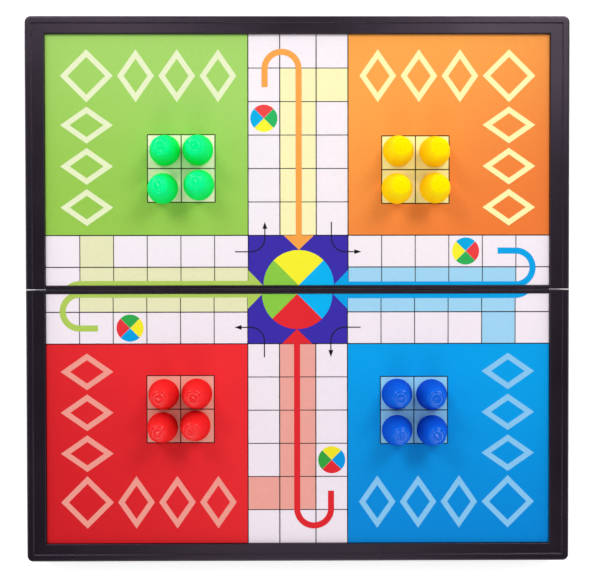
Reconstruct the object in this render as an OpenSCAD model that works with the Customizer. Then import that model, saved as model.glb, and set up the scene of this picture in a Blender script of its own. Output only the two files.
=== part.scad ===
// Folding magnetic ludo board with its sixteen pawns, lying open.
// Origin: middle of the open board on the table. +X right, +Y towards the rear half, +Z up.

/* [Case] */
// Width of the board, along the hinge
board_w = 251; // [220:1:290]
// Depth of one half, from its spine face to its outer edge
half_d = 125.7; // [110:0.1:145]
// Height of one half, from the table to the top of its frame
half_h = 17; // [15:0.5:22]
// Gap between the two spine faces when the board lies open
seam_gap = 0.4; // [0.3:0.1:1]
// Plan radius of the outer corners
corner_r = 2.8; // [2:0.2:5]

/* [Frame] */
// Width of the frame along the two short sides
frame_side_w = 8.8; // [6:0.1:11]
// Width of the frame along the outer long edge
frame_edge_w = 8; // [6:0.1:11]
// Width of the raised band round the outside of the frame
band_w = 3.2; // [2:0.1:4]
// Height of the raised band above the rest of the frame
band_h = 0.6; // [0.3:0.1:1]
// Rounding of the band's outer edge
band_round = 1; // [0.4:0.1:1.6]
// Depth of the print below the inner part of the frame
recess_d = 1.4; // [0.8:0.1:2]
// Height of the spine's edge above the print
spine_lip_h = 0.4; // [0.2:0.1:0.6]

/* [Shell] */
// Thickness of the three outer walls
wall_t = 2.4; // [2:0.1:3.2]
// Thickness of the spine wall beside the seam
spine_t = 1.6; // [1.2:0.1:2]
// Thickness of the deck under the sheets
deck_t = 1.8; // [1.2:0.1:2.6]
// Thickness of the ribs under the deck
rib_t = 1.2; // [0.8:0.1:2]
// Height of the ribs under the deck
rib_h = 1.6; // [0.8:0.1:2.4]
// Number of ribs across each deck
rib_count = 5; // [3:2:9]

/* [Closing lips] */
// Sideways play between the lips of the closed case
lap_clear = 0.2; // [0.15:0.05:0.4]
// Play over the tips of the lips of the closed case
lip_tip_clear = 0.3; // [0.2:0.1:0.6]
// Length of the snap bead
snap_len = 24; // [10:1:60]
// Radius of the snap bead
snap_r = 0.6; // [0.4:0.05:0.7]
// How far the snap bead stands out of its lip
snap_h = 0.35; // [0.25:0.05:0.4]
// Play round the snap bead in its groove
snap_clear = 0.15; // [0.1:0.05:0.25]

/* [Hinges] */
// Diameter of the hinge pins
pin_d = 2; // [1.5:0.1:2.5]
// Radial play of the pins in their knuckles
pin_clear = 0.05; // [0.03:0.01:0.09]
// Wall of the knuckles round the pin
knuckle_wall = 1.45; // [1.1:0.05:1.8]
// Height of the knuckles above the table
knuckle_lift = 0.1; // [0.05:0.05:0.5]
// Length of one hinge
hinge_len = 48; // [30:1:60]
// Distance from the end of the board to its nearest hinge
hinge_inset = 22; // [12:1:40]
// Play between neighbouring knuckles
knuckle_gap = 0.3; // [0.2:0.05:0.6]
// Play round a knuckle where it stands in the other half's spine wall
notch_clear = 0.4; // [0.3:0.05:0.7]
// Play between the two spine walls when the case is closed
fold_gap = 0.2; // [0.1:0.05:0.5]

/* [Sheets] */
// Thickness of the steel sheets
steel_t = 0.5; // [0.3:0.05:0.8]
// Thickness of the printed sheets
print_t = 0.3; // [0.2:0.05:0.5]
// Play round the sheets in their recess
sheet_clear = 0.2; // [0.1:0.05:0.4]
// Half the width of the cross of squares, which is half of the home field
arm_half = 23.2; // [20:0.2:26]

/* [Pawns] */
// Diameter of a pawn's foot
pawn_d = 14.2; // [12:0.2:15]
// Height of a pawn
pawn_h = 18.5; // [15:0.5:22]
// Diameter of a pawn's crown
crown_d = 8.2; // [6.5:0.1:9]
// Rounding of the crown's edge
crown_round = 0.9; // [0.5:0.1:1.4]
// Diameter of the raised ring on the crown
ring_d = 4.7; // [3.2:0.1:4.8]
// Height of the raised ring
ring_h = 0.45; // [0.3:0.05:0.8]
// Diameter of the nub in the middle of the ring
nub_d = 1.4; // [1:0.1:2]
// Height of the nub
nub_h = 0.25; // [0.1:0.05:0.4]
// Height of the upright edge of the foot
foot_h = 1; // [0.5:0.1:2]
// Spare room beside a pawn in its square
pawn_room = 1.4; // [1.2:0.1:3]
// Wall of the pawn round its cored hollow
pawn_wall = 1.4; // [1:0.1:1.8]

/* [Magnets] */
// Diameter of a magnet
magnet_d = 9; // [6:0.5:10]
// Thickness of a magnet
magnet_h = 3; // [2:0.5:4]
// Play round a magnet in its pocket
magnet_clear = 0.05; // [0.03:0.01:0.1]
// Height of a magnet above the foot of its pawn
magnet_lift = 0.1; // [0:0.05:0.3]

/* [Hidden] */
// Squares along one arm of the cross, from the home field to the frame
arm_squares = 6;
// Length by which cutting bodies run past the faces that they cut
over = 1;
// Roundness of true circles
$fn = 64;

// Levels from the table upwards
knuckle_r = pin_d / 2 + pin_clear + knuckle_wall;
hinge_z = knuckle_r + knuckle_lift;
lap_z = 2 * hinge_z + lip_tip_clear;
spine_z = hinge_z + fold_gap / 2;
band_z = half_h - band_h;
print_z = band_z - recess_d;
steel_z = print_z - print_t;
deck_z = steel_z - steel_t;
tray_z = deck_z - deck_t;

// Lines of one half, outwards from the seam
spine_y = seam_gap / 2;
recess_y = spine_y + spine_t;
edge_y = spine_y + half_d;
recess_w = board_w - 2 * frame_side_w;
recess_len = edge_y - frame_edge_w - recess_y;

// The outer lip belongs to the rear half and the inner lip to the front half
lip_t = (wall_t - lap_clear) / 2;
inner_lip = lip_t + lap_clear;
snap_y = edge_y - inner_lip - snap_r + snap_h;
snap_z = hinge_z / 2;

// Hinge places along X, each with two rear knuckles and one front knuckle between them
hinge_x = board_w / 2 - hinge_inset - hinge_len / 2;
outer_knuckle = hinge_len / 4 - knuckle_gap;
inner_knuckle = hinge_len / 2;

// The four squares of a yard lie two squares out from the home field both ways
square_x = (recess_w / 2 - arm_half) / arm_squares;
square_y = (recess_len - arm_half) / arm_squares;
home_square = pawn_d + pawn_room;
yard_middle = [arm_half + 2 * square_x, recess_y + arm_half + 2 * square_y];

// Pawn sets: name, colour, side of the seam line along X and Y
PAWN_SETS = [
    ["green", "#12DC60", -1, 1],
    ["yellow", "#FFD80C", 1, 1],
    ["red", "#EA242C", -1, -1],
    ["blue", "#0F50D2", 1, -1],
];
// Corner of the yard's block of squares where each pawn of a set stands
CORNERS = [[-1, 1], [1, 1], [-1, -1], [1, -1]];
// How far each pawn stands from the middle of its square, as a player put it down
STRAYS = [
    [[0.85, 0.55], [0.45, 0.7], [-0.2, -1.45], [0.9, 0.15]],
    [[-0.1, 0.25], [1.2, -0.1], [-0.7, -1.55], [1.35, -1.3]],
    [[0, -0.3], [-0.3, -0.1], [-0.6, -0.05], [-1.1, 0.7]],
    [[-0.7, -0.35], [-0.25, -0.6], [-0.6, -1.6], [0, -1.65]],
];

function pawn_name(set, i, what) = str(PAWN_SETS[set][0], "_", what, "_", i + 1);

function pawn_place(set, i) =
    [
        PAWN_SETS[set][2] * yard_middle[0] + CORNERS[i][0] * home_square / 2 + STRAYS[set][i][0],
        PAWN_SETS[set][3] * yard_middle[1] + CORNERS[i][1] * home_square / 2 + STRAYS[set][i][1],
        print_z,
    ];

SHELL_COLOUR = "#2A292E";
STEEL_COLOUR = "#B9BDC2";
MAGNET_COLOUR = "#3B3A3D";
TRACK_COLOUR = "#F5F2F8";
HOME_COLOUR = "#3F30AE";

// Shared shapes, drawn for the half at +Y

// Puts a shape made for the rear half on the front half
module on_front_half() {
    mirror([0, 1, 0]) children();
}

// Plan of one half: square at the seam, rounded at the two outer corners
module half_plan(inset = 0, near = spine_y) {
    side = board_w / 2 - inset;
    far = edge_y - inset;
    r = max(corner_r - inset, over / 10);
    translate([-side, near]) square([2 * side, far - r - near]);
    translate([r - side, near]) square([2 * (side - r), far - near]);
    for (turn = [-1, 1]) translate([turn * (side - r), far - r]) circle(r);
}

// Upright block over the plan of one half
module half_block(from_z, to_z, inset = 0, near = spine_y) {
    translate([0, 0, from_z]) linear_extrude(to_z - from_z) half_plan(inset, near);
}

// Section of what the rounded edge takes away: u runs in from the outer face, v up to the top
module round_section() {
    difference() {
        translate([-over, -band_round]) square(band_round + over);
        translate([band_round, -band_round]) circle(band_round);
    }
}

// The rounded edge along the two short sides, the two corners and the long edge
module round_cutter() {
    long = edge_y - corner_r - spine_y;
    corner_x = board_w / 2 - corner_r;
    for (turn = [0, 1]) mirror([turn, 0, 0]) {
        translate([-board_w / 2, edge_y - corner_r, half_h]) rotate([90, 0, 0])
            linear_extrude(long + over) round_section();
        translate([-corner_x, edge_y - corner_r, half_h]) rotate([0, 0, 90])
            rotate_extrude(angle = 90) translate([corner_r, 0]) mirror([1, 0]) round_section();
    }
    translate([-corner_x, edge_y, half_h]) rotate([90, 0, 90])
        linear_extrude(2 * corner_x) mirror([1, 0]) round_section();
}

// Bar along X at the hinge line
module hinge_bar(middle, length, r) {
    translate([middle - length / 2, 0, hinge_z]) rotate([0, 90, 0]) cylinder(r = r, h = length);
}

// The two knuckles that the rear half holds at each hinge
module rear_knuckles(r, play = 0) {
    offset_x = (hinge_len - outer_knuckle) / 2;
    for (side = [-1, 1]) for (end = [-1, 1])
        hinge_bar(side * hinge_x + end * offset_x, outer_knuckle + 2 * play, r);
}

// The knuckle that the front half holds at each hinge
module front_knuckles(r, play = 0) {
    for (side = [-1, 1]) hinge_bar(side * hinge_x, inner_knuckle + 2 * play, r);
}

module pin_bores() {
    for (side = [-1, 1]) hinge_bar(side * hinge_x, hinge_len + 2 * knuckle_gap, pin_d / 2 + pin_clear);
}

// Stiffening ribs under the deck: one along the board and a row across it
module ribs() {
    span_x = board_w - 2 * wall_t;
    span_y = edge_y - wall_t - recess_y;
    pitch = span_x / (rib_count + 1);
    translate([-span_x / 2, recess_y + span_y / 2 - rib_t / 2, tray_z - rib_h])
        cube([span_x, rib_t, rib_h]);
    for (i = [1:rib_count]) translate([i * pitch - span_x / 2 - rib_t / 2, recess_y, tray_z - rib_h])
        cube([rib_t, span_y, rib_h]);
}

// Frame, walls and deck of one half, before its lips and hinges are cut
module case_half() {
    frame_x = board_w / 2 - band_w;
    difference() {
        half_block(0, half_h);
        round_cutter();
        half_block(-over, tray_z, wall_t, recess_y);
        translate([-frame_x, 0, band_z]) cube([2 * frame_x, edge_y - band_w, band_h + over]);
        translate([-recess_w / 2, recess_y, deck_z]) cube([recess_w, recess_len, half_h]);
        // the spine's edge stands only a little above the print
        translate([-recess_w / 2, 0, print_z + spine_lip_h]) cube([recess_w, recess_y + over, half_h]);
    }
    ribs();
}

// Snap bead or its groove, along the middle of the long edge
module snap_bar(z, play = 0) {
    translate([-snap_len / 2 - play, snap_y, z]) rotate([0, 90, 0])
        cylinder(r = snap_r + play, h = snap_len + 2 * play);
}

// Sub-parts

// The rear half keeps the outer lip: its walls lose their inner side below the lap
module rear_shell() {
    lip_x = board_w / 2 - lip_t;
    spine_x = board_w / 2 - wall_t - lap_clear;
    color(SHELL_COLOUR) difference() {
        union() {
            difference() {
                case_half();
                half_block(-over, lap_z, lip_t, recess_y);
                // the spine wall ends at the hinge line, and beside the front half's lips
                difference() {
                    translate([-lip_x, -over, -over]) cube([2 * lip_x, recess_y + over, lap_z + over]);
                    translate([-spine_x, 0, spine_z]) cube([2 * spine_x, recess_y + over, half_h]);
                }
            }
            rear_knuckles(knuckle_r);
        }
        front_knuckles(knuckle_r + notch_clear, knuckle_gap);
        pin_bores();
        snap_bar(2 * hinge_z - snap_z, snap_clear);
    }
}

// The front half keeps the inner lip: its walls lose their outer side below the lap
module front_shell() {
    spine_x = board_w / 2 - wall_t;
    color(SHELL_COLOUR) on_front_half() difference() {
        union() {
            difference() {
                case_half();
                difference() {
                    translate([-board_w, -over, -over]) cube([2 * board_w, 2 * edge_y, lap_z + over]);
                    half_block(-2 * over, lap_z + over, inner_lip, -2 * over);
                }
                // the spine wall ends at the hinge line between the lips
                translate([-spine_x, -over, -over]) cube([2 * spine_x, recess_y + over, spine_z + over]);
            }
            front_knuckles(knuckle_r);
            snap_bar(snap_z);
        }
        rear_knuckles(knuckle_r + notch_clear, knuckle_gap);
        pin_bores();
    }
}

module steel_sheet() {
    color(STEEL_COLOUR) translate([sheet_clear - recess_w / 2, recess_y + sheet_clear, deck_z])
        cube([recess_w - 2 * sheet_clear, recess_len - 2 * sheet_clear, steel_t]);
}

// One printed area of a sheet
module printed(colour, x, y, w, d) {
    color(colour) translate([x, y, steel_z]) cube([w, d, print_t]);
}

// The printed sheet of one half: two yards, the squares of the track and half of the home field
module print_sheet(left_yard, right_yard) {
    left = sheet_clear - recess_w / 2;
    near = recess_y + sheet_clear;
    yard_y = recess_y + arm_half;
    yard_w = -arm_half - left;
    yard_d = recess_y + recess_len - sheet_clear - yard_y;
    printed(left_yard, left, yard_y, yard_w, yard_d);
    printed(right_yard, arm_half, yard_y, yard_w, yard_d);
    printed(TRACK_COLOUR, -arm_half, yard_y, 2 * arm_half, yard_d);
    printed(TRACK_COLOUR, left, near, yard_w, yard_y - near);
    printed(TRACK_COLOUR, arm_half, near, yard_w, yard_y - near);
    printed(HOME_COLOUR, -arm_half, near, 2 * arm_half, yard_y - near);
}

module hinge_pin(side) {
    color(STEEL_COLOUR) hinge_bar(side * hinge_x, hinge_len, pin_d / 2);
}

// Points on an arc round a centre, from one angle to another
function arc(centre, r, from, to, steps = 6) =
    [for (i = [0:steps]) let (a = from + (to - from) * i / steps) centre + r * [cos(a), sin(a)]];

// Cone with an upright foot, a rounded crown, a raised ring and a nub, cored from below for its magnet
module pawn(set, i) {
    crown_z = pawn_h - nub_h - ring_h - crown_round;
    flat_z = crown_z + crown_round;
    ring_z = flat_z + ring_h;
    pocket_r = magnet_d / 2 + magnet_clear;
    pocket_h = magnet_lift + magnet_h + magnet_clear;
    core_r = crown_d / 2 - pawn_wall;
    outline = concat(
        [[0, 0], [pawn_d / 2, 0], [pawn_d / 2, foot_h]],
        arc([crown_d / 2 - crown_round, crown_z], crown_round, 0, 90),
        arc([ring_d / 2 - ring_h, flat_z], ring_h, 0, 90),
        [[nub_d / 2, ring_z], [nub_d / 2, pawn_h], [0, pawn_h]]
    );
    color(PAWN_SETS[set][1]) translate(pawn_place(set, i)) difference() {
        rotate_extrude() polygon(outline);
        translate([0, 0, -over]) cylinder(r = pocket_r, h = pocket_h + over);
        cylinder(r = core_r, h = crown_z - pawn_wall);
    }
}

module magnet(set, i) {
    color(MAGNET_COLOUR) translate(pawn_place(set, i) + [0, 0, magnet_lift])
        cylinder(d = magnet_d, h = magnet_h);
}

rear_shell();
front_shell();
steel_sheet();  // rear_steel_sheet
on_front_half() steel_sheet();  // front_steel_sheet
print_sheet("#9FD261", "#F7923F");  // rear_print_sheet
on_front_half() print_sheet("#E62D35", "#0A93E2");  // front_print_sheet
hinge_pin(-1);  // left_hinge_pin
hinge_pin(1);  // right_hinge_pin
for (set = [0:3]) for (i = [0:3]) {
    pawn(set, i);
    magnet(set, i);
}
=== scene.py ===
# %% [markdown]
# A folding magnetic ludo board.
# The board is two black moulded cases on a hinge. Each case carries a printed sheet on a thin steel sheet,
# and sixteen pawns with a magnet in the foot stand on the print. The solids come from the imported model.
# This lesson dresses them: it gives every solid its finish, prints the two sheets ink by ink,
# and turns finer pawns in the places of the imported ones.
# Blender counts in metres. The sizes below are written in millimetres, and MM turns them into metres.

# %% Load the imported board
import math

import bpy
import numpy as np
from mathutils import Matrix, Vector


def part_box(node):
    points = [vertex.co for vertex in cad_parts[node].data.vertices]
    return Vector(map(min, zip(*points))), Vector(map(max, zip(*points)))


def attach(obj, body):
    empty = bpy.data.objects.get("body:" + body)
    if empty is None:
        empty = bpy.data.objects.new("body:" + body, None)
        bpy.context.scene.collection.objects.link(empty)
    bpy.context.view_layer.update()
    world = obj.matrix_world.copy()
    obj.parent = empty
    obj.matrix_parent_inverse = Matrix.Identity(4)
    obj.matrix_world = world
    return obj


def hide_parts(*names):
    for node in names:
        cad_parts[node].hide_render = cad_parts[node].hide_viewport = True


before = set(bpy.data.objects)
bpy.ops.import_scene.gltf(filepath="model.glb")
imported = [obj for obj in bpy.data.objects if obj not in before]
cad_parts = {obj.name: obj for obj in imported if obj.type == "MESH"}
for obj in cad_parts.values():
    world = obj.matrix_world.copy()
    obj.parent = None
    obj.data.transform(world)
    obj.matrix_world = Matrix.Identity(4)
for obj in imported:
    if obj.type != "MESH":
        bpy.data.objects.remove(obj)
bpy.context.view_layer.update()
MM = 0.001

# %% [markdown]
# The camera hangs almost straight above the board, a little behind the seam. It could be aimed by eye,
# or by a Track To constraint at the board's middle, but a board seen from above shows every error
# of a few tenths of a degree along its edges. So its place, its small tilt and its lens were fitted
# to the corners of the frame and the lines of the print.

# %% Camera
IMAGE_W, FOCAL_PX = 600, 997.45
CAMERA_AT = (-1.96, 6.91, 477)
CAMERA_TURN = (-0.884, -0.365, -0.083)

camera = bpy.data.objects.new("camera", bpy.data.cameras.new("camera"))
camera.data.sensor_width = 36
camera.data.lens = FOCAL_PX * camera.data.sensor_width / IMAGE_W
camera.data.clip_start = 10 * MM
camera.location = [place * MM for place in CAMERA_AT]
camera.rotation_euler = [math.radians(turn) for turn in CAMERA_TURN]
bpy.context.scene.collection.objects.link(camera)
bpy.context.scene.camera = camera
print("lens", round(camera.data.lens, 2), "mm")

# %% [markdown]
# Every finish below is a small node tree. It could be drawn by hand in the shader editor, but a script
# can be read and run again. Two helpers keep it short: one turns a colour from the hex code
# that painters and printers use into the linear light that a renderer needs, as the colour picker does
# by itself, and one adds a node with its settings and links in a single line.
# A Mix node has an input A for each kind of value, so its colour inputs are named here by their numbers.

# %% Colour and node helpers
MIX_SHARE, MIX_FROM, MIX_TO, MIXED = 0, 6, 7, 2


def linear(code):
    """Linear RGBA of an sRGB hex code: c / 12.92 in the darks, ((c + 0.055) / 1.055) ** 2.4 above them."""
    c = np.array([int(code[i:i + 2], 16) for i in (1, 3, 5)]) / 255
    return (*np.where(c <= 0.04045, c / 12.92, ((c + 0.055) / 1.055) ** 2.4).tolist(), 1.0)


def add_node(tree, kind, inputs=None, **settings):
    """Adds one node. Each input takes a plain value, or the output of another node."""
    node = tree.nodes.new(kind)
    for name, value in settings.items():
        setattr(node, name, value)
    for name, value in (inputs or {}).items():
        if isinstance(value, bpy.types.NodeSocket):
            tree.links.new(value, node.inputs[name])
        else:
            node.inputs[name].default_value = value
    return node


def empty_material(name):
    """A new material and its node tree, with no nodes in it yet."""
    material = bpy.data.materials.new(name)
    material.use_nodes = True
    material.node_tree.nodes.clear()
    return material, material.node_tree


def dress(material, *nodes):
    """Gives CAD nodes a finish and leaves their shape alone."""
    for name in nodes:
        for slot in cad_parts[name].material_slots:
            slot.material = material
    print(material.name, "on", len(nodes), "solids")


print("mid grey in linear light:", round(linear("#808080")[0], 3))

# %% [markdown]
# The two cases are injection moulded in black polystyrene with a violet cast. The mould was polished,
# so the plastic comes out smooth and reflects the room softly and dimly. It flowed in with faint waves,
# and handling has rubbed its edges a little greyer.
# The edges could be bevelled in the mesh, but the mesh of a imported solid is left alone. So a Bevel node
# rounds the edges for the light only, and the same node finds the edges for the wear.

# %% Moulded black polystyrene
WAVE = 6 * MM
FLOW = 35 * MM
EDGE_ROUND = 0.6 * MM

case_plastic, tree = empty_material("moulded_black_polystyrene")
place = add_node(tree, "ShaderNodeTexCoord").outputs["Object"]
wave = add_node(tree, "ShaderNodeTexNoise", {"Vector": place, "Scale": 1 / WAVE, "Detail": 2.0})
flow = add_node(tree, "ShaderNodeTexNoise", {"Vector": place, "Scale": 1 / FLOW, "Detail": 2.0})
tone = add_node(tree, "ShaderNodeMix", {MIX_SHARE: flow.outputs["Fac"], MIX_FROM: linear("#120E15"),
                                        MIX_TO: linear("#1B151F")}, data_type="RGBA")
rounded_normal = add_node(tree, "ShaderNodeBevel", {"Radius": EDGE_ROUND}, samples=6).outputs["Normal"]
true_normal = add_node(tree, "ShaderNodeNewGeometry").outputs["Normal"]
turned = add_node(tree, "ShaderNodeVectorMath", {0: rounded_normal, 1: true_normal},
                  operation="DOT_PRODUCT")
wear = add_node(tree, "ShaderNodeMapRange", {"Value": turned.outputs["Value"], "From Min": 1.0,
                                             "From Max": 0.75, "To Min": 0.0, "To Max": 0.4})
worn = add_node(tree, "ShaderNodeMix", {MIX_SHARE: wear.outputs["Result"], MIX_FROM: tone.outputs[MIXED],
                                        MIX_TO: linear("#241F29")}, data_type="RGBA")
satin = add_node(tree, "ShaderNodeMapRange", {"Value": flow.outputs["Fac"], "From Min": 0.3,
                                              "From Max": 0.7, "To Min": 0.22, "To Max": 0.30})
relief = add_node(tree, "ShaderNodeBump", {"Height": wave.outputs["Fac"], "Normal": rounded_normal,
                                           "Strength": 0.15, "Distance": 0.1 * MM})
plastic = add_node(tree, "ShaderNodeBsdfPrincipled",
                   {"Base Color": worn.outputs[MIXED], "Roughness": satin.outputs["Result"],
                    "Normal": relief.outputs["Normal"], "IOR": 1.55, "Specular Tint": linear("#F6DDF8")})
add_node(tree, "ShaderNodeOutputMaterial", {"Surface": plastic.outputs["BSDF"]})
dress(case_plastic, "rear_shell", "front_shell")

# %% [markdown]
# The steel sheets are rolled tinplate, which keeps fine bright lines along the way it was rolled.
# The hinge pins are drawn wire, with the same lines along the wire. The lines could come from
# anisotropic gloss, but without a UV map that runs in rings round a piece. So a noise is stretched along X,
# and it changes the gloss and the relief from line to line.
# Real lines are finer still: these are as coarse as they need to be to show.

# %% Rolled tinplate and drawn steel wire
def rolled_steel(name, colour, line, length, roughness):
    """Bright steel with lines along X: noise stretched to the given length and line width."""
    material, tree = empty_material(name)
    place = add_node(tree, "ShaderNodeTexCoord").outputs["Object"]
    along = add_node(tree, "ShaderNodeMapping", {"Vector": place,
                                                 "Scale": (1 / length, 1 / line, 1 / line)})
    lines = add_node(tree, "ShaderNodeTexNoise", {"Vector": along.outputs["Vector"], "Scale": 1.0,
                                                  "Detail": 2.0})
    gloss = add_node(tree, "ShaderNodeMapRange", {"Value": lines.outputs["Fac"],
                                                  "To Min": roughness - 0.08, "To Max": roughness + 0.12})
    relief = add_node(tree, "ShaderNodeBump", {"Height": lines.outputs["Fac"], "Strength": 0.1,
                                               "Distance": 0.02 * MM})
    steel = add_node(tree, "ShaderNodeBsdfPrincipled",
                     {"Base Color": linear(colour), "Metallic": 1.0, "Roughness": gloss.outputs["Result"],
                      "Normal": relief.outputs["Normal"]})
    add_node(tree, "ShaderNodeOutputMaterial", {"Surface": steel.outputs["BSDF"]})
    return material


tinplate = rolled_steel("rolled_tinplate", "#C8C8C6", 0.3 * MM, 12 * MM, 0.32)
dress(tinplate, "rear_steel_sheet", "front_steel_sheet")
wire = rolled_steel("drawn_steel_wire", "#B8B5AF", 0.1 * MM, 8 * MM, 0.28)
dress(wire, "left_hinge_pin", "right_hinge_pin")

# %% [markdown]
# The magnets are pressed and sintered ferrite, a dull dark grey ceramic. They sit in the feet of the pawns,
# so they show only when a pawn is lifted. The grains have no direction, so a plain noise does for them
# where a Voronoi pattern would look like cut stone. Real grains are a few thousandths of a millimetre,
# and the specks are drawn far coarser so that they show.

# %% Sintered ferrite
PAWN_COLOURS = ("green", "yellow", "red", "blue")
SPECK = 0.35 * MM

ferrite, tree = empty_material("sintered_ferrite")
place = add_node(tree, "ShaderNodeTexCoord").outputs["Object"]
specks = add_node(tree, "ShaderNodeTexNoise", {"Vector": place, "Scale": 1 / SPECK, "Detail": 4.0})
grey = add_node(tree, "ShaderNodeMix", {MIX_SHARE: specks.outputs["Fac"], MIX_FROM: linear("#242325"),
                                        MIX_TO: linear("#434145")}, data_type="RGBA")
relief = add_node(tree, "ShaderNodeBump", {"Height": specks.outputs["Fac"], "Strength": 0.3,
                                           "Distance": 0.05 * MM})
ceramic = add_node(tree, "ShaderNodeBsdfPrincipled", {"Base Color": grey.outputs[MIXED], "Roughness": 0.62,
                                                      "Normal": relief.outputs["Normal"]})
add_node(tree, "ShaderNodeOutputMaterial", {"Surface": ceramic.outputs["BSDF"]})
dress(ferrite, *[f"{colour}_magnet_{i}" for colour in PAWN_COLOURS for i in (1, 2, 3, 4)])

# %% [markdown]
# The sheets are offset print on coated paper under a clear film. The film is satin and never quite flat,
# and the ink under it is never quite even. The whole print could be one picture on the sheet,
# but a picture blurs when the camera comes close, so every ink is a material of its own.
# An ink is two colours that fade into each other between two points of the board. In the yards this is
# partly the print's soft fade from one corner to the other and partly painted shade, darker towards
# the front, where less of the lamps' light falls. The same recipe gives the bare paper, also painted
# a little darker in front.

# %% Laminated offset ink
MOTTLE = 1.6 * MM
PEEL = 2.5 * MM


def laminated_ink(name, first, second, start=(0, -120), end=(0, 120)):
    """Ink in two tones: the share of the second is the way from start to end, in mm. By default that way
    runs from front to back, painted shade that leaves the front a little darker.
    """
    material, tree = empty_material(name)
    place = add_node(tree, "ShaderNodeTexCoord").outputs["Object"]
    way = np.array([*end, 0.0]) - np.array([*start, 0.0])
    step = way / (way @ way) / MM
    share = add_node(tree, "ShaderNodeVectorMath", {0: place, 1: step.tolist()}, operation="DOT_PRODUCT")
    begin = float(step @ np.array([*start, 0.0])) * MM
    # partly a printed fade, partly painted shade: the front of the board is darker than the back
    print_fade_and_painted_shade = add_node(tree, "ShaderNodeMapRange",
                    {"Value": share.outputs["Value"], "From Min": begin, "From Max": begin + 1},
                    interpolation_type="SMOOTHSTEP")
    colour = add_node(tree, "ShaderNodeMix", {MIX_SHARE: print_fade_and_painted_shade.outputs["Result"], MIX_FROM: linear(first),
                                              MIX_TO: linear(second)}, data_type="RGBA")
    cloud = add_node(tree, "ShaderNodeTexNoise", {"Vector": place, "Scale": 1 / MOTTLE, "Detail": 3.0})
    level = add_node(tree, "ShaderNodeMapRange", {"Value": cloud.outputs["Fac"], "From Min": 0.3,
                                                  "From Max": 0.7, "To Min": 0.97, "To Max": 1.0})
    ink = add_node(tree, "ShaderNodeVectorMath", {0: colour.outputs[MIXED], 1: level.outputs["Result"]},
                   operation="MULTIPLY")
    peel = add_node(tree, "ShaderNodeTexNoise", {"Vector": place, "Scale": 1 / PEEL, "Detail": 2.0})
    satin = add_node(tree, "ShaderNodeMapRange", {"Value": peel.outputs["Fac"], "From Min": 0.3,
                                                  "From Max": 0.7, "To Min": 0.36, "To Max": 0.46})
    relief = add_node(tree, "ShaderNodeBump", {"Height": peel.outputs["Fac"], "Strength": 0.06,
                                               "Distance": 0.1 * MM})
    film = add_node(tree, "ShaderNodeBsdfPrincipled",
                    {"Base Color": ink.outputs["Vector"], "Roughness": satin.outputs["Result"],
                     "Normal": relief.outputs["Normal"], "IOR": 1.49, "Specular IOR Level": 0.12})
    add_node(tree, "ShaderNodeOutputMaterial", {"Surface": film.outputs["BSDF"]})
    return material


# the paper is painted a little darker towards the front: painted shade
dress(laminated_ink("coated_paper", "#F3E7F1", "#F9F0F7"), "rear_print_sheet", "front_print_sheet")

# %% [markdown]
# A press mixes its tints from dots of four process inks. That could be drawn too, but the dots are finer
# than the camera sees, so each tint has a name and two tones of its own. A yard's ink fills the yard,
# and its pale, square and rule inks draw what lies in it. The lane and hook inks draw a colour's way home.
# Where an ink fades, the two points between which it does so follow, in millimetres. The others run
# from front to back, painted shade with the front a little darker.

# %% Inks of the print
INKS = {name: laminated_ink(name + "_ink", *recipe) for name, recipe in {
    "green_yard": ("#99CA50", "#A6D66A", (-85, 25), (-54, 117)),
    "orange_yard": ("#F07C37", "#FCA64C", (100, 25), (45, 117)),
    "red_yard": ("#D31D26", "#EF2D33", (-116, -117), (-23, -25)),
    "blue_yard": ("#0088D9", "#00A1EB", (70, -117), (70, -25)),
    "green_lane": ("#E6E5B8", "#EAEAC0"),
    "orange_lane": ("#FBF2B4", "#FCF5BE"),
    "red_lane": ("#EEA499", "#F3ADA4"),
    "blue_lane": ("#9DD3F1", "#A6D8F4"),
    "green_pale": ("#E7EEC0", "#EBF1C8"),
    "orange_pale": ("#FCF3AC", "#FDF6B2"),
    "red_pale": ("#F09C90", "#F4A496"),
    "blue_pale": ("#86C6F0", "#8ECCF2"),
    # the pawn squares' inks are painted lighter: painted light bounced from the pawns
    "green_square": ("#FCF6D3", "#FDF7D6"),
    "orange_square": ("#FDF6AE", "#FDF8B4"),
    "red_square": ("#ECA696", "#EFAA9B"),
    "blue_square": ("#97D7F3", "#9BD9F4"),
    "green_hook": ("#AECB55", "#B4D062"),
    "orange_hook": ("#F49C40", "#F9A74D"),
    "red_hook": ("#E0252E", "#E82B33"),
    "blue_hook": ("#009EE4", "#04A6EA"),
    "home_violet": ("#3A2AA8", "#3D2FA9"),
    "home_blue": ("#00B2F0", "#06B4F2"),
    "disc_red": ("#E22833", "#F24747", (0, -80), (0, 80)),
    "disc_blue": ("#0098E1", "#00B0E7", (0, -80), (0, 80)),
    "sun_yellow": ("#F2E628", "#FAF534", (0, -80), (0, 80)),
    "leaf_green": ("#34A23C", "#2DB662", (0, -80), (0, 80)),
    "lime_green": ("#87C741", "#8DCC49"),
    "green_rule": ("#36441E", "#3C4A22"),
    "orange_rule": ("#482F10", "#4E3512"),
    "red_rule": ("#5A161A", "#621A1E"),
    "blue_rule": ("#0F3554", "#123A5C"),
    "line_black": ("#1D191C", "#231E22"),
}.items()}
print(len(INKS), "inks")

# %% [markdown]
# The print is drawn in a plane of its own, for one half of the board: u runs along the seam,
# v away from it, in millimetres. The front half is the same drawing turned by 180 degrees,
# so one drawing serves both. Every line of the drawing is a path: a few corners, each rounded by an arc,
# and a stroke of even width along it. A line could be a Blender curve with a flat bevel,
# but as an outline it goes through the same press as the areas do.

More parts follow.
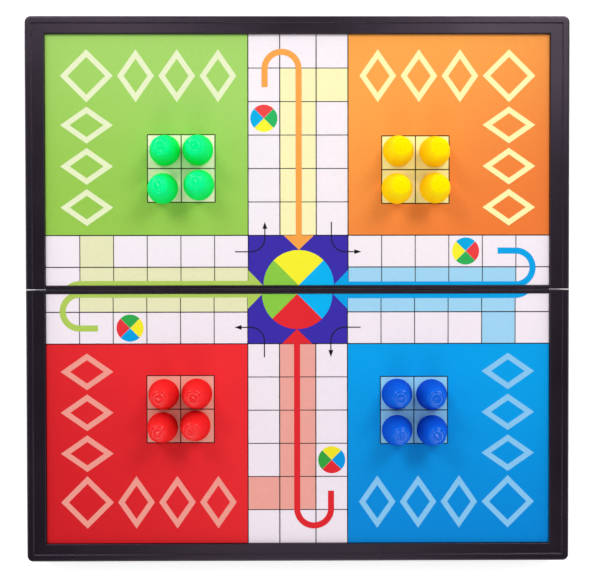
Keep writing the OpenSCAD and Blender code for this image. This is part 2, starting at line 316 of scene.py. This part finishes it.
# %% Paths and strokes
def rounded(corners, radii, steps=8, lead=0.2):
    """A path with round corners: at each inner corner an arc that touches both sides, its points blended
    between the two directions from the arc's centre, with a lead point on each side."""
    corners = np.asarray(corners, float)
    radii = np.broadcast_to(np.asarray(radii, float), len(corners) - 2)[:, None]
    at = corners[1:-1]
    back, ahead = corners[:-2] - at, corners[2:] - at
    back /= np.linalg.norm(back, axis=1, keepdims=True)
    ahead /= np.linalg.norm(ahead, axis=1, keepdims=True)
    half = np.arccos(np.sum(back * ahead, axis=1, keepdims=True)) / 2
    reach, turn = radii / np.tan(half), (np.pi - 2 * half)[:, :, None]
    middle = back + ahead
    centre = at + middle / np.linalg.norm(middle, axis=1, keepdims=True) * radii / np.sin(half)
    share = np.linspace(0, 1, steps)[None, :, None]
    first, last = (at + back * reach - centre)[:, None], (at + ahead * reach - centre)[:, None]
    blend = (np.sin((1 - share) * turn) * first + np.sin(share * turn) * last) / np.sin(turn)
    lead_in = (at + back * (reach + lead * radii))[:, None]
    lead_out = (at + ahead * (reach + lead * radii))[:, None]
    bends = np.concatenate([lead_in, centre[:, None] + blend, lead_out], axis=1).reshape(-1, 2)
    path = np.vstack([corners[:1], bends, corners[-1:]])
    fresh = np.linalg.norm(np.diff(path, axis=0), axis=1) > 1e-6
    return path[np.append(True, fresh)]


def stroke(path, width):
    """The outline of a line of even width: the path moved half a width to each side, corners mitred."""
    along = np.diff(path, axis=0)
    across = np.column_stack([-along[:, 1], along[:, 0]]) / np.linalg.norm(along, axis=1, keepdims=True)
    joined = np.vstack([across[:1], across[:-1] + across[1:], across[-1:]])
    joined[1:-1] /= 1 + np.sum(across[:-1] * across[1:], axis=1, keepdims=True)
    return np.vstack([path + joined * width / 2, (path - joined * width / 2)[::-1]])


print("a hook path has", len(rounded([(0, 0), (0, 9), (9, 9), (9, 0)], 4)), "points")

# %% [markdown]
# The areas of the drawing are rectangles and slices of discs. Real ink is thinner than a hair,
# and it could be a flat face, but two faces in one plane flicker. So every outline is carried straight up
# from the paper by a few hundredths of a millimetre, and an ink is a closed plate. A later ink stands
# a little higher than the one it overprints.

# %% Areas, slices and plates
def area(u0, v0, u1, v1):
    """A plain rectangle between two corners."""
    return np.array([(u0, v0), (u1, v0), (u1, v1), (u0, v1)], float)


def fan(centre, radius, start, end, steps=25):
    """A slice of a disc: its point, then points round the arc from one angle to the other."""
    angle = np.radians(np.linspace(start, end, steps))
    rim = np.array(centre) + radius * np.column_stack([np.cos(angle), np.sin(angle)])
    return np.vstack([centre, rim])


def raised(outlines, low, high):
    """Outlines carried straight up: a lower and an upper face each, and a wall of quads between them."""
    flat = np.concatenate(outlines)
    points = np.vstack([np.column_stack([flat, np.full(len(flat), z)]) for z in (low, high)])
    faces, first = [], 0
    for outline in outlines:
        ring = np.arange(first, first + len(outline))
        after = np.roll(ring, -1)
        walls = np.column_stack([ring, after, after + len(flat), ring + len(flat)])
        faces += [ring[::-1].tolist(), (ring + len(flat)).tolist(), *walls.tolist()]
        first += len(outline)
    return points, faces


print("a quarter disc has", len(fan((0, 0), 1, 0, 90)), "points")

# %% [markdown]
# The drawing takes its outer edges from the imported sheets, so it would follow them if they changed.
# The cross of squares is three lanes wide, six squares long, and ends at the home field,
# a square that both halves share. Distances from the seam are given from its middle line,
# and from_seam takes off the strip before the sheet begins.

# %% Sizes of the drawing
sheet_low, sheet_high = [np.array(corner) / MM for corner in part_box("rear_print_sheet")]
SHEET_HALF, SHEET_NEAR, PAPER = sheet_high[0], sheet_low[1], sheet_high[2]
DEPTH = sheet_high[1] - SHEET_NEAR
SIDES = {"rear": 1, "front": -1}
REGISTER, BLEED, INK_STEP = 0.15, 1, 0.02


def from_seam(y):
    """The v of a line that lies y millimetres from the middle of the seam: y - the near edge of the sheet."""
    return y - SHEET_NEAR


LANE, ARM, ARM_SQUARES = 8.4, 23.1, 6
LANE_V, ARM_V = from_seam(10.4), from_seam(25.1)
SQUARE_U = (SHEET_HALF - ARM) / ARM_SQUARES
SQUARE_V = (DEPTH - ARM_V) / ARM_SQUARES
print("squares", round(SQUARE_U, 2), "by", round(SQUARE_V, 2), "mm, sheet", round(DEPTH, 1), "mm deep")


# %% [markdown]
# The press takes outlines of one ink and prints them on one half. As in a real print, the drawing lies
# a hair off the middle of the sheet, and ink that runs past an edge is cut off there. The turn of the front
# half could be left to the object's rotation, but then the fades of the inks would turn with it.
# The plates of ink ride on the case of their half, so they go with it when the board folds.

# %% The press
def print_ink(half, name, ink, level, outlines):
    """Prints outlines on one half: x = s (u + register), y = s (near + v), s = 1 behind and -1 in front."""
    side = SIDES[half]
    placed = []
    for outline in outlines:
        x = np.clip(side * (outline[:, 0] + REGISTER), -SHEET_HALF, SHEET_HALF)
        y = side * (SHEET_NEAR + np.clip(outline[:, 1], 0, DEPTH))
        turning = np.sum(x * np.roll(y, -1) - y * np.roll(x, -1))
        placed.append(np.column_stack([x, y])[::1 if turning > 0 else -1])
    points, faces = raised(placed, PAPER, PAPER + level * INK_STEP)
    mesh = bpy.data.meshes.new(f"{half}_{name}")
    mesh.from_pydata(points * MM, [], faces)
    mesh.materials.append(INKS[ink])
    piece = bpy.data.objects.new(mesh.name, mesh)
    bpy.context.scene.collection.objects.link(piece)
    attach(piece, f"{half}_half")


print("a press for the halves", *SIDES)

# %% [markdown]
# First come the large areas: the two yards of each half, the tinted home lane of each colour,
# and the tinted square on which that colour enters the track, beside the outermost square of its lane.
# The lanes along the seam are cut by it, so each half prints its own side of them. Each area could be drawn
# twice, but one table of places and one table of colours for each half print both halves.

# %% Yards and lanes
LOCAL = {"rear": {"left": "green", "right": "orange", "lane": "orange", "far": "blue"},
         "front": {"left": "blue", "right": "red", "lane": "red", "far": "green"}}
LANE_SQUARES = 5
ENTRY = LANE_SQUARES - 1

AREAS = {
    "left": ("yard", [area(-SHEET_HALF - BLEED, ARM_V, -ARM, DEPTH)]),
    "right": ("yard", [area(ARM, ARM_V, SHEET_HALF + BLEED, DEPTH)]),
    "lane": ("lane", [area(-LANE, ARM_V, LANE, ARM_V + LANE_SQUARES * SQUARE_V),
                      area(LANE, ARM_V + ENTRY * SQUARE_V, ARM, ARM_V + LANE_SQUARES * SQUARE_V)]),
    "far": ("lane", [area(ARM, 0, ARM + LANE_SQUARES * SQUARE_U, LANE_V)]),
}
near_lane = [area(-ARM - LANE_SQUARES * SQUARE_U, 0, -ARM, LANE_V),
             area(-ARM - LANE_SQUARES * SQUARE_U, LANE_V, -ARM - ENTRY * SQUARE_U, ARM_V)]
for half, colour in LOCAL.items():
    for where, (kind, outlines) in AREAS.items():
        print_ink(half, f"{kind}_{colour[where]}", f"{colour[where]}_{kind}", 1, outlines)
    print_ink(half, f"lane_{colour['left']}", f"{colour['left']}_lane", 1, near_lane)
    print(half, "yards and lanes printed")

# %% [markdown]
# The grid is printed in black over the tints. It could be a Brick Texture in the paper's material,
# but the arms meet at the home field and the squares aren't quite square, so each line is a stroke
# of its own. The lines along an arm are a touch heavier than those across it.

# %% Grid lines
ALONG, ACROSS = 0.45, 0.36
BOTH = (-1, 1)
crossings = np.arange(1, ARM_SQUARES)


def ruled(start, end, width):
    """A straight ruled line between two points."""
    return stroke(np.array([start, end], float), width)


grid = [ruled((u, ARM_V), (u, DEPTH), ALONG) for u in (-ARM, -LANE, LANE, ARM)]
grid += [ruled((s * ARM, v), (s * (SHEET_HALF + BLEED), v), ALONG) for s in BOTH for v in (LANE_V, ARM_V)]
grid += [ruled((-ARM, v), (ARM, v), ACROSS) for v in ARM_V + crossings * SQUARE_V]
grid += [ruled((s * u, 0), (s * u, ARM_V), ACROSS) for s in BOTH for u in ARM + crossings * SQUARE_U]
grid += [ruled((-ARM, ARM_V), (ARM, ARM_V), ALONG)]
grid += [ruled((s * ARM, 0), (s * ARM, ARM_V), ALONG) for s in BOTH]
for half in SIDES:
    print_ink(half, "grid_lines", "line_black", 3, grid)
print(len(grid), "grid lines on each half")

# %% [markdown]
# A colour's way home is drawn as a hook: it comes up from the last square of the track, turns through
# a half circle and runs down the middle of the lane to an arrowhead in the home field.
# Two of the four hooks lie on the seam, which splits them lengthwise. Such a hook could be cut
# by a Boolean, but the press cuts it anyway: what lies on the other half is pressed flat against the edge.
# Only the side that the bend turns away from needs an outline of its own, up to where the bend leaves it.
# The two sheets don't meet quite true, so the two sides of such a hook aren't quite equally wide.

# %% Hooks
HOOK_W, HOOK_R, SEAM_R = 2.8, 7.85, 7.825
HOOK_U, HOOK_TOP, HOOK_END = 0.3, from_seam(109.7), from_seam(93.5)
SEAM_TURN, SEAM_END = 108.7, 92.45
SEAM_RUN, SEAM_EDGE = 0.25, 2.05
HEAD_HALF, HEAD_LEN = 7.0, 6.75

back_u = HOOK_U - 2 * HOOK_R
upright = [(HOOK_U, ARM_V), (HOOK_U, HOOK_TOP), (back_u, HOOK_TOP), (back_u, HOOK_END)]
upright_hook = stroke(rounded(upright, HOOK_R, steps=24, lead=0), HOOK_W)
upright_head = np.array([(HOOK_U - HEAD_HALF, ARM_V), (HOOK_U, ARM_V - HEAD_LEN),
                         (HOOK_U + HEAD_HALF, ARM_V)])
seam_back = SEAM_RUN + 2 * SEAM_R
sideways = [(ARM, SEAM_RUN), (SEAM_TURN, SEAM_RUN), (SEAM_TURN, seam_back), (SEAM_END, seam_back)]
seam_hook = stroke(rounded(sideways, SEAM_R, steps=24, lead=0), HOOK_W)
seam_head = np.array([(ARM, 0), (ARM, HEAD_HALF), (ARM - HEAD_LEN, 0)])

# the other side of a seam hook: its straight run, up to where the bend leaves this half
rim_r = SEAM_R + SEAM_EDGE
bend = np.linspace(math.asin(SEAM_R / rim_r), math.pi / 2, 9)
run_out = np.column_stack([SEAM_R - SEAM_TURN - rim_r * np.cos(bend), rim_r * np.sin(bend) - SEAM_R])
seam_strip = np.vstack([[(-ARM, 0)], run_out, [(-ARM, SEAM_EDGE)]])
HOOKS = {"lane": [upright_hook, upright_head], "far": [seam_hook, seam_head],
         "left": [seam_strip, seam_head * (-1, 1)]}
for half, colour in LOCAL.items():
    for where, outlines in HOOKS.items():
        print_ink(half, f"hook_{colour[where]}", f"{colour[where]}_hook", 4, outlines)
print("hooks", HOOK_W, "mm wide, turned on", HOOK_R, "mm")

# %% [markdown]
# The home field is a violet square with a disc of four slices, one for each colour.
# The seam cuts the disc in half, so each half of the board prints one whole slice and two half ones.
# The slices could be one disc with four materials, but each ink is a plate of its own here too.

# %% Home field
HOME_R, HOME_U = 16.3, 0.2
HOME_SLICES = {"far": (0, 45), "middle": (45, 135), "left": (135, 180)}
HOME_INKS = {"rear": {"far": "home_blue", "middle": "sun_yellow", "left": "lime_green"},
             "front": {"far": "lime_green", "middle": "red_hook", "left": "home_blue"}}

for half, inks in HOME_INKS.items():
    print_ink(half, "home_field", "home_violet", 1, [area(-ARM, 0, ARM, ARM_V)])
    for where, angles in HOME_SLICES.items():
        print_ink(half, f"home_slice_{where}", inks[where], 2, [fan((HOME_U, 0), HOME_R, *angles)])
print("home disc", HOME_R, "mm in radius")

# %% [markdown]
# At each corner of the home field a thin arrow shows which way play turns from one arm into the next.
# Its shaft is a stroke with one round corner, and its point is a triangle. The shaft stops inside the point,
# so that its square end doesn't show beside the tip.

# %% Turn arrows
TURN_AT, TURN_END, TURN_R, TURN_W = 15.4, 29.2, 6.4, 0.5
RISE = from_seam(2.1)
POINT_LEN, POINT_HALF, SHAFT_SHORT = 3.2, 1.1, 1

shaft_end, point_foot = TURN_END - SHAFT_SHORT, TURN_END - POINT_LEN
upwards = [(-TURN_END, TURN_AT), (-TURN_AT, TURN_AT), (-TURN_AT, shaft_end)]
outwards = [(TURN_AT, TURN_END), (TURN_AT, TURN_AT), (shaft_end, TURN_AT)]
arrows = [stroke(rounded(path, TURN_R, steps=16), TURN_W) for path in (upwards, outwards)]
arrows += [np.array([(-TURN_AT - POINT_HALF, point_foot), (-TURN_AT + POINT_HALF, point_foot),
                     (-TURN_AT, TURN_END)]),
           np.array([(point_foot, TURN_AT + POINT_HALF), (point_foot, TURN_AT - POINT_HALF),
                     (TURN_END, TURN_AT)])]
for half in SIDES:
    print_ink(half, "turn_arrows", "line_black", 3, [outline + (0, RISE) for outline in arrows])
print("turn arrows with points", POINT_LEN, "mm long")

# %% [markdown]
# On every arm a disc of four slices marks a safe square, the fourth from the home field.
# The slices are drawn apart by a hair, so the paper shows as a thin white cross between them.
# The cross could be printed over the disc, but white ink on paper isn't how a press would do it.

# %% Safe discs
SAFE_R, SAFE_GAP, SAFE_AT = 6.2, 0.06, 3.5
SAFE_DISCS = {
    1: (-(LANE + ARM) / 2, ARM_V + SAFE_AT * SQUARE_V,
        ("leaf_green", "disc_red", "disc_blue", "sun_yellow")),
    2: (ARM + SAFE_AT * SQUARE_U, (LANE_V + ARM_V) / 2,
        ("disc_red", "disc_blue", "sun_yellow", "leaf_green")),
}
for half in SIDES:
    for number, (u, v, slices) in SAFE_DISCS.items():
        for quarter, ink in enumerate(slices):
            facing = 90 * quarter
            turn = math.radians(facing)
            tip = (u + SAFE_GAP * math.cos(turn), v + SAFE_GAP * math.sin(turn))
            print_ink(half, f"safe_disc_{number}_slice_{quarter + 1}", ink, 2,
                      [fan(tip, SAFE_R, facing - 45, facing + 45)])
print(2 * len(SAFE_DISCS), "safe discs", SAFE_R, "mm in radius")

# %% [markdown]
# Each yard has four tinted squares for its pawns, ruled in the yard's darkest tone. Their inks are painted
# lighter and cleaner than the yard's pale tint, as painted light that the pawns bounce onto them.
# Four squares could be printed, but their edges lie under the rules, so one large square and six rules
# do it. The block is drawn once round its own middle and then moved to each yard, as a stamp would be.

# %% Pawn squares
YARDS = {"left": (-53.95, from_seam(56.0)), "right": (54.3, from_seam(55.4))}
CELL = 15.6
BOX_W = 0.5

squares = area(-CELL, -CELL, CELL, CELL)
rules = [ruled((-CELL, v), (CELL, v), BOX_W) for v in (-CELL, 0, CELL)]
rules += [ruled((u, -CELL), (u, CELL), BOX_W) for u in (-CELL, 0, CELL)]
for half, colour in LOCAL.items():
    for where, middle in YARDS.items():
        own = colour[where]
        print_ink(half, f"{own}_pawn_squares", f"{own}_square", 2, [squares + middle])
        print_ink(half, f"{own}_square_rules", f"{own}_rule", 3, [line + middle for line in rules])
print("pawn squares", CELL, "mm wide")

# %% [markdown]
# A chain of open diamonds runs along the two outer sides of each yard, in the pale tint of its own ink.
# A diamond could be a closed stroke, but a stroke has two ends. Four mitred sides that meet at the corners
# close without a seam. The chain is drawn for the right yard and mirrored for the left one.

# %% Diamond borders
BORDER = 2.5
BORDER_CORNER = (97.6, from_seam(98.7))
WIDE_HALF, SLIM_HALF, BORDER_GAP, SLIM_COUNT = 12.2, 8.5, 2.0, 3


def diamond(u, v, half_u, half_v):
    """The four mitred sides of an open diamond: its corners, and the corners drawn in by the border."""
    corners = np.array([(half_u, 0), (0, half_v), (-half_u, 0), (0, -half_v)], float)
    inner = corners * (1 - BORDER * math.hypot(half_u, half_v) / (half_u * half_v))
    sides = np.stack([corners, np.roll(corners, -1, 0), np.roll(inner, -1, 0), inner], axis=1)
    return list(sides + (u, v))


corner_u, corner_v = BORDER_CORNER
chain = diamond(corner_u, corner_v, WIDE_HALF, WIDE_HALF)
for number in range(SLIM_COUNT):
    away = WIDE_HALF + BORDER_GAP + SLIM_HALF + number * (2 * SLIM_HALF + BORDER_GAP)
    chain += diamond(corner_u - away, corner_v, SLIM_HALF, WIDE_HALF)
    chain += diamond(corner_u, corner_v - away, WIDE_HALF, SLIM_HALF)
for half, colour in LOCAL.items():
    for where, mirror in (("left", -1), ("right", 1)):
        own = colour[where]
        border = [side * (mirror, 1) for side in chain]
        print_ink(half, f"{own}_diamond_border", f"{own}_pale", 2, border)
print(len(chain) // 4, "diamonds in each yard")

# %% [markdown]
# The pawns are moulded polystyrene in four clear colours. The cone's sides come from a plain satin mould,
# which keeps their colour deep when they are seen from above. The crown is polished, so the lamps
# draw thin bright arcs on its edge, its ring and its stub, and the dark colours show them more.
# The colour is painted a little lighter towards the crown, as painted light on the top where the lamps
# fall, with faint flow marks.
# One material could hold both finishes, with a mask by height, but two keep each one plain,
# so one function makes them both.

# %% Satin and polished polystyrene
DRIFT = 9 * MM
TOP_LIGHT_H = 17
SATIN_ROUGHNESS, SATIN = 0.75, 0.08
POLISH_ROUGHNESS, POLISH = 0.06, {"green": 0.22, "yellow": 0.02, "red": 0.27, "blue": 0.36}


def moulded_polystyrene(name, crown, foot, roughness, specular):
    """Coloured polystyrene with painted top light: the lit crown tone's share of the colour is
    0.8 height / 17 mm + 0.2 noise, and the same noise adds up to 0.1 to the roughness."""
    material, tree = empty_material(name)
    place = add_node(tree, "ShaderNodeTexCoord").outputs["Object"]
    drift = add_node(tree, "ShaderNodeTexNoise", {"Vector": place, "Scale": 1 / DRIFT, "Detail": 3.0})
    height = add_node(tree, "ShaderNodeSeparateXYZ", {0: place}).outputs["Z"]
    # painted top light: the colour turns to the lit crown tone with height
    painted_top_light = add_node(tree, "ShaderNodeMapRange", {"Value": height, "From Min": PAPER * MM,
                                                 "From Max": (PAPER + TOP_LIGHT_H) * MM,
                                                 "To Min": 0.0, "To Max": 0.8})
    share = add_node(tree, "ShaderNodeMath", {0: drift.outputs["Fac"], 1: 0.2, 2: painted_top_light.outputs["Result"]},
                     operation="MULTIPLY_ADD")
    tone = add_node(tree, "ShaderNodeMix", {MIX_SHARE: share.outputs["Value"], MIX_FROM: linear(foot),
                                            MIX_TO: linear(crown)}, data_type="RGBA")
    gloss = add_node(tree, "ShaderNodeMath", {0: drift.outputs["Fac"], 1: 0.1, 2: roughness},
                     operation="MULTIPLY_ADD")
    plastic = add_node(tree, "ShaderNodeBsdfPrincipled",
                       {"Base Color": tone.outputs[MIXED], "IOR": 1.55, "Specular IOR Level": specular,
                        "Roughness": gloss.outputs["Value"]})
    add_node(tree, "ShaderNodeOutputMaterial", {"Surface": plastic.outputs["BSDF"]})
    return material


# each colour as a lit crown tone and a shaded foot tone: painted light and shade
PAWN_LIT_AND_SHADED_TONES = {"green": ("#00F894", "#00EA40"), "yellow": ("#FFE900", "#FFCE00"),
              "red": ("#F22A2C", "#DE0F13"), "blue": ("#0060DA", "#0040BE")}
PAWN_FINISH = {
    colour: [moulded_polystyrene(f"satin_{colour}_polystyrene", *tones, SATIN_ROUGHNESS, SATIN),
             moulded_polystyrene(f"polished_{colour}_polystyrene", *tones, POLISH_ROUGHNESS, POLISH[colour])]
    for colour, tones in PAWN_LIT_AND_SHADED_TONES.items()}
print(len(PAWN_FINISH), "pawn colours, each satin and polished")

# %% [markdown]
# A pawn is a turned form, and a turned form is a profile carried round an axis. A Screw modifier
# could do that, but a formula can also stretch one part of the form. The profile starts inside
# the cored hollow, goes out under the foot, up the cone and over the crown to its middle, so the surface
# is closed. In the middle of the crown stands the stub of the gate through which the plastic came in.
# It was twisted off, so it is longer one way than the other.

# %% Turned form of a pawn
PAWN_PROFILE = [(0, 15.5), (2.7, 15.5), (2.7, 3.15), (4.55, 3.15), (4.55, 0), (7.1, 0), (7.1, 1.0),
                (3.93, 17.8), (2.65, 17.8), (2.1, 18.25), (1.15, 18.25), (0.58, 18.4), (0.1, 18.5),
                (0, 18.5)]
PAWN_ROUNDS = (0.3, 0.2, 0.2, 0.15, 0.2, 0.5, 0.9, 0.5, 0.5, 0.2, 1.0, 0.2)
STUB_R, STUB_STRETCH = 1.3, 0.5
POLISH_FROM = 17.66
COLUMNS = 72


def turned_form(profile, columns, stretch):
    """A profile of (r, z) points carried round Z: x = r (1 + s) cos a, y = r (1 - s) sin a, where s is
    each point's stretch, 0 on a true circle. Both ends lie on the axis, where triangles close the form."""
    angle = np.linspace(0, 2 * np.pi, columns, endpoint=False)
    r, z = profile[1:-1].T
    s = stretch[1:-1]
    rings = np.stack([np.outer(r * (1 + s), np.cos(angle)), np.outer(r * (1 - s), np.sin(angle)),
                      np.repeat(z[:, None], columns, axis=1)], axis=-1).reshape(-1, 3)
    points = np.vstack([rings, [(0, 0, profile[0, 1]), (0, 0, profile[-1, 1])]])
    here = np.arange(columns)
    after = np.roll(here, -1)
    low = np.arange(len(r) - 1)[:, None] * columns
    high = low + columns
    quads = np.stack([low + here, low + after, high + after, high + here], axis=-1).reshape(-1, 4)
    top = (len(r) - 1) * columns
    start, end = np.full(columns, len(rings)), np.full(columns, len(rings) + 1)
    tips = np.vstack([np.column_stack([start, after, here]),
                      np.column_stack([top + here, top + after, end])])
    return points, quads.tolist() + tips.tolist()


profile = rounded(PAWN_PROFILE, PAWN_ROUNDS, steps=6)
stub = (profile[:, 0] < STUB_R) & (profile[:, 1] > POLISH_FROM)
pawn_points, pawn_faces = turned_form(profile, COLUMNS, np.where(stub, STUB_STRETCH, 0.0))
print("a pawn has", len(pawn_faces), "faces")

# %% [markdown]
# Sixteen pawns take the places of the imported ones. They could share one mesh, but each has a mesh
# of its own in the board's frame, so the flow marks differ from pawn to pawn. Each is turned about
# its own axis, as a player would put it down, so the stubs point all ways.
# The faces from the edge of the crown up get the polished finish.

# %% Pawns in their places
STUB_TURNS = {"green": (20, 33, 124, 122), "yellow": (100, 8, 15, 92),
              "red": (8, 140, 25, 115), "blue": (176, 35, 105, 148)}

for colour, turns in STUB_TURNS.items():
    for number, turn in enumerate(np.radians(turns), 1):
        cos, sin = math.cos(turn), math.sin(turn)
        spin = np.array([(cos, sin, 0), (-sin, cos, 0), (0, 0, 1)])
        low, high = [np.array(corner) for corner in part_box(f"{colour}_pawn_{number}")]
        foot = np.array([*(low + high)[:2] / 2, low[2]])
        mesh = bpy.data.meshes.new(f"turned_{colour}_pawn_{number}")
        mesh.from_pydata(pawn_points @ spin * MM + foot, [], pawn_faces)
        mesh.polygons.foreach_set("use_smooth", np.ones(len(mesh.polygons), bool))
        middles = np.empty(3 * len(mesh.polygons))
        mesh.polygons.foreach_get("center", middles)
        polished = middles[2::3] > foot[2] + POLISH_FROM * MM
        mesh.polygons.foreach_set("material_index", polished.astype(np.int32))
        for finish in PAWN_FINISH[colour]:
            mesh.materials.append(finish)
        piece = bpy.data.objects.new(mesh.name, mesh)
        bpy.context.scene.collection.objects.link(piece)
        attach(piece, f"{colour}_piece_{number}")
        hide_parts(f"{colour}_pawn_{number}")
    print("four", colour, "pawns turned and placed")

# %% [markdown]
# The stage is a plain white table. More light would make it white, but would bleach the board as well.
# So to the camera and to reflections the table is lifted to white, a little more with distance
# so that no grey line shows where it ends. Light that falls on it still gives shadows.
# A strip under the seam has no lift, because the narrow gap keeps the light out there.

# %% White table
FLOOR_HALF, FLOOR_Z = 3.0, -0.2 * MM
PALE_FROM, PALE_TO = 0.3, 1.5
SEAM_SHADE, SHADE_PAST = 2.5 * MM, 3.8 * MM

table_white, tree = empty_material("white_table")
light_path = add_node(tree, "ShaderNodeLightPath").outputs
seen = add_node(tree, "ShaderNodeMath", {0: light_path["Is Camera Ray"], 1: light_path["Is Glossy Ray"]},
                operation="MAXIMUM")
seen = add_node(tree, "ShaderNodeMath", {0: seen.outputs["Value"], 1: light_path["Is Transmission Ray"]},
                operation="MAXIMUM")
place = add_node(tree, "ShaderNodeTexCoord").outputs["Object"]
away = add_node(tree, "ShaderNodeVectorMath", {0: place}, operation="LENGTH")
paling = add_node(tree, "ShaderNodeMapRange", {"Value": away.outputs["Value"], "From Min": PALE_FROM,
                                               "From Max": PALE_TO, "To Min": 0.5, "To Max": 1.0})
lift = add_node(tree, "ShaderNodeMath", {0: seen.outputs["Value"], 1: paling.outputs["Result"]},
                operation="MULTIPLY")
glow = add_node(tree, "ShaderNodeEmission", {"Color": linear("#FFFFFF"), "Strength": lift.outputs["Value"]})
matt = add_node(tree, "ShaderNodeBsdfDiffuse", {"Color": linear("#F9F9F9")})
both = add_node(tree, "ShaderNodeAddShader", {0: matt.outputs["BSDF"], 1: glow.outputs["Emission"]})
add_node(tree, "ShaderNodeOutputMaterial", {"Surface": both.outputs["Shader"]})

covered_white, tree = empty_material("covered_white_table")
shaded = add_node(tree, "ShaderNodeBsdfDiffuse", {"Color": linear("#F9F9F9")})
add_node(tree, "ShaderNodeOutputMaterial", {"Surface": shaded.outputs["BSDF"]})
print("table whites made")

# %% [markdown]
# The floor is one flat mesh: four large faces round the narrow strip. Two planes could do it as well,
# but they would have to lie one above the other. It belongs to the stage, not to the object.

# %% Floor
shade = SHEET_HALF * MM + SHADE_PAST
outline = np.vstack([area(-FLOOR_HALF, -FLOOR_HALF, FLOOR_HALF, FLOOR_HALF),
                     area(-shade, -SEAM_SHADE, shade, SEAM_SHADE)])
floor_mesh = bpy.data.meshes.new("floor")
floor_mesh.from_pydata([(x, y, FLOOR_Z) for x, y in outline], [],
                       [(0, 1, 5, 4), (1, 2, 6, 5), (2, 3, 7, 6), (3, 0, 4, 7), (4, 5, 6, 7)])
floor_mesh.materials.append(table_white)
floor_mesh.materials.append(covered_white)
floor_mesh.polygons[4].material_index = 1
floor = bpy.data.objects.new("floor", floor_mesh)
bpy.context.scene.collection.objects.link(floor)
print("floor", 2 * FLOOR_HALF, "m wide")

# %% [markdown]
# The world is a studio with pale walls and a dark ceiling. An even grey world would be simpler,
# but the black case mirrors what is above it. The dark ceiling keeps it black when it is seen from above,
# and the walls light the sides of the pawns evenly.

# %% World
WALL_TOP = 0.55
world = bpy.data.worlds.new("studio")
world.use_nodes = True
sky = world.node_tree
sky.nodes.clear()
heading = add_node(sky, "ShaderNodeTexCoord").outputs["Generated"]
way_up = add_node(sky, "ShaderNodeSeparateXYZ", {0: heading})
walls = add_node(sky, "ShaderNodeMapRange", {"Value": way_up.outputs["Z"], "From Min": 0.0,
                                             "From Max": WALL_TOP, "To Min": 2.4, "To Max": 0.1},
                 interpolation_type="SMOOTHSTEP")
studio = add_node(sky, "ShaderNodeBackground", {"Color": linear("#FFFFFF"),
                                                "Strength": walls.outputs["Result"]})
add_node(sky, "ShaderNodeOutputWorld", {"Surface": studio.outputs["Background"]})
bpy.context.scene.world = world
print("pale walls up to", round(math.degrees(math.asin(WALL_TOP))), "degrees")

# %% [markdown]
# Two softboxes behind the board give the largest part of the light, so the far edge is a little brighter
# than the near one and the pawns throw short soft shadows forwards. Weaker ones at the sides
# and in front fill the shadows. Three small cards high up and one behind the board draw the glints
# on the crowns and on the frame. A sun lamp would be simpler, but its shadows are hard.
# A lamp's share says how brightly it alone would light white paper. With the walls, all the shares
# add up to about one, so a colour renders as it was written.

# %% Lamps
def softbox(name, azimuth, elevation, distance, size, share):
    """A square lamp that looks at the board's middle. Its share of the light there, 1 being a fully lit
    white, is power * sin(elevation) / (pi * distance) ** 2, which gives the power."""
    azimuth, elevation = math.radians(azimuth), math.radians(elevation)
    lamp = bpy.data.objects.new(name, bpy.data.lights.new(name, "AREA"))
    lamp.data.shape = "SQUARE"
    lamp.data.size = size
    lamp.data.energy = share * (math.pi * distance) ** 2 / math.sin(elevation)
    flat = distance * math.cos(elevation)
    lamp.location = (flat * math.cos(azimuth), flat * math.sin(azimuth), distance * math.sin(elevation))
    lamp.rotation_euler = (0, math.pi / 2 - elevation, azimuth)
    bpy.context.scene.collection.objects.link(lamp)
    print(name, round(lamp.data.energy, 1), "W")


softbox("rear_left_softbox", 128, 44, 1.4, 0.45, 0.18)
softbox("rear_right_softbox", 52, 44, 1.4, 0.45, 0.235)
softbox("left_softbox", 180, 38, 1.4, 0.8, 0.065)
softbox("right_softbox", 0, 38, 1.4, 0.8, 0.06)
softbox("front_softbox", 270, 38, 1.6, 0.8, 0.11)
softbox("high_right_card", 50, 66, 1.4, 0.3, 0.042)
softbox("high_left_card", 118, 64, 1.4, 0.3, 0.035)
softbox("high_front_card", 270, 70, 1.4, 0.5, 0.033)
softbox("rear_card", 76, 44, 1.4, 0.2, 0.012)
bpy.context.scene.view_settings.view_transform = "Standard"
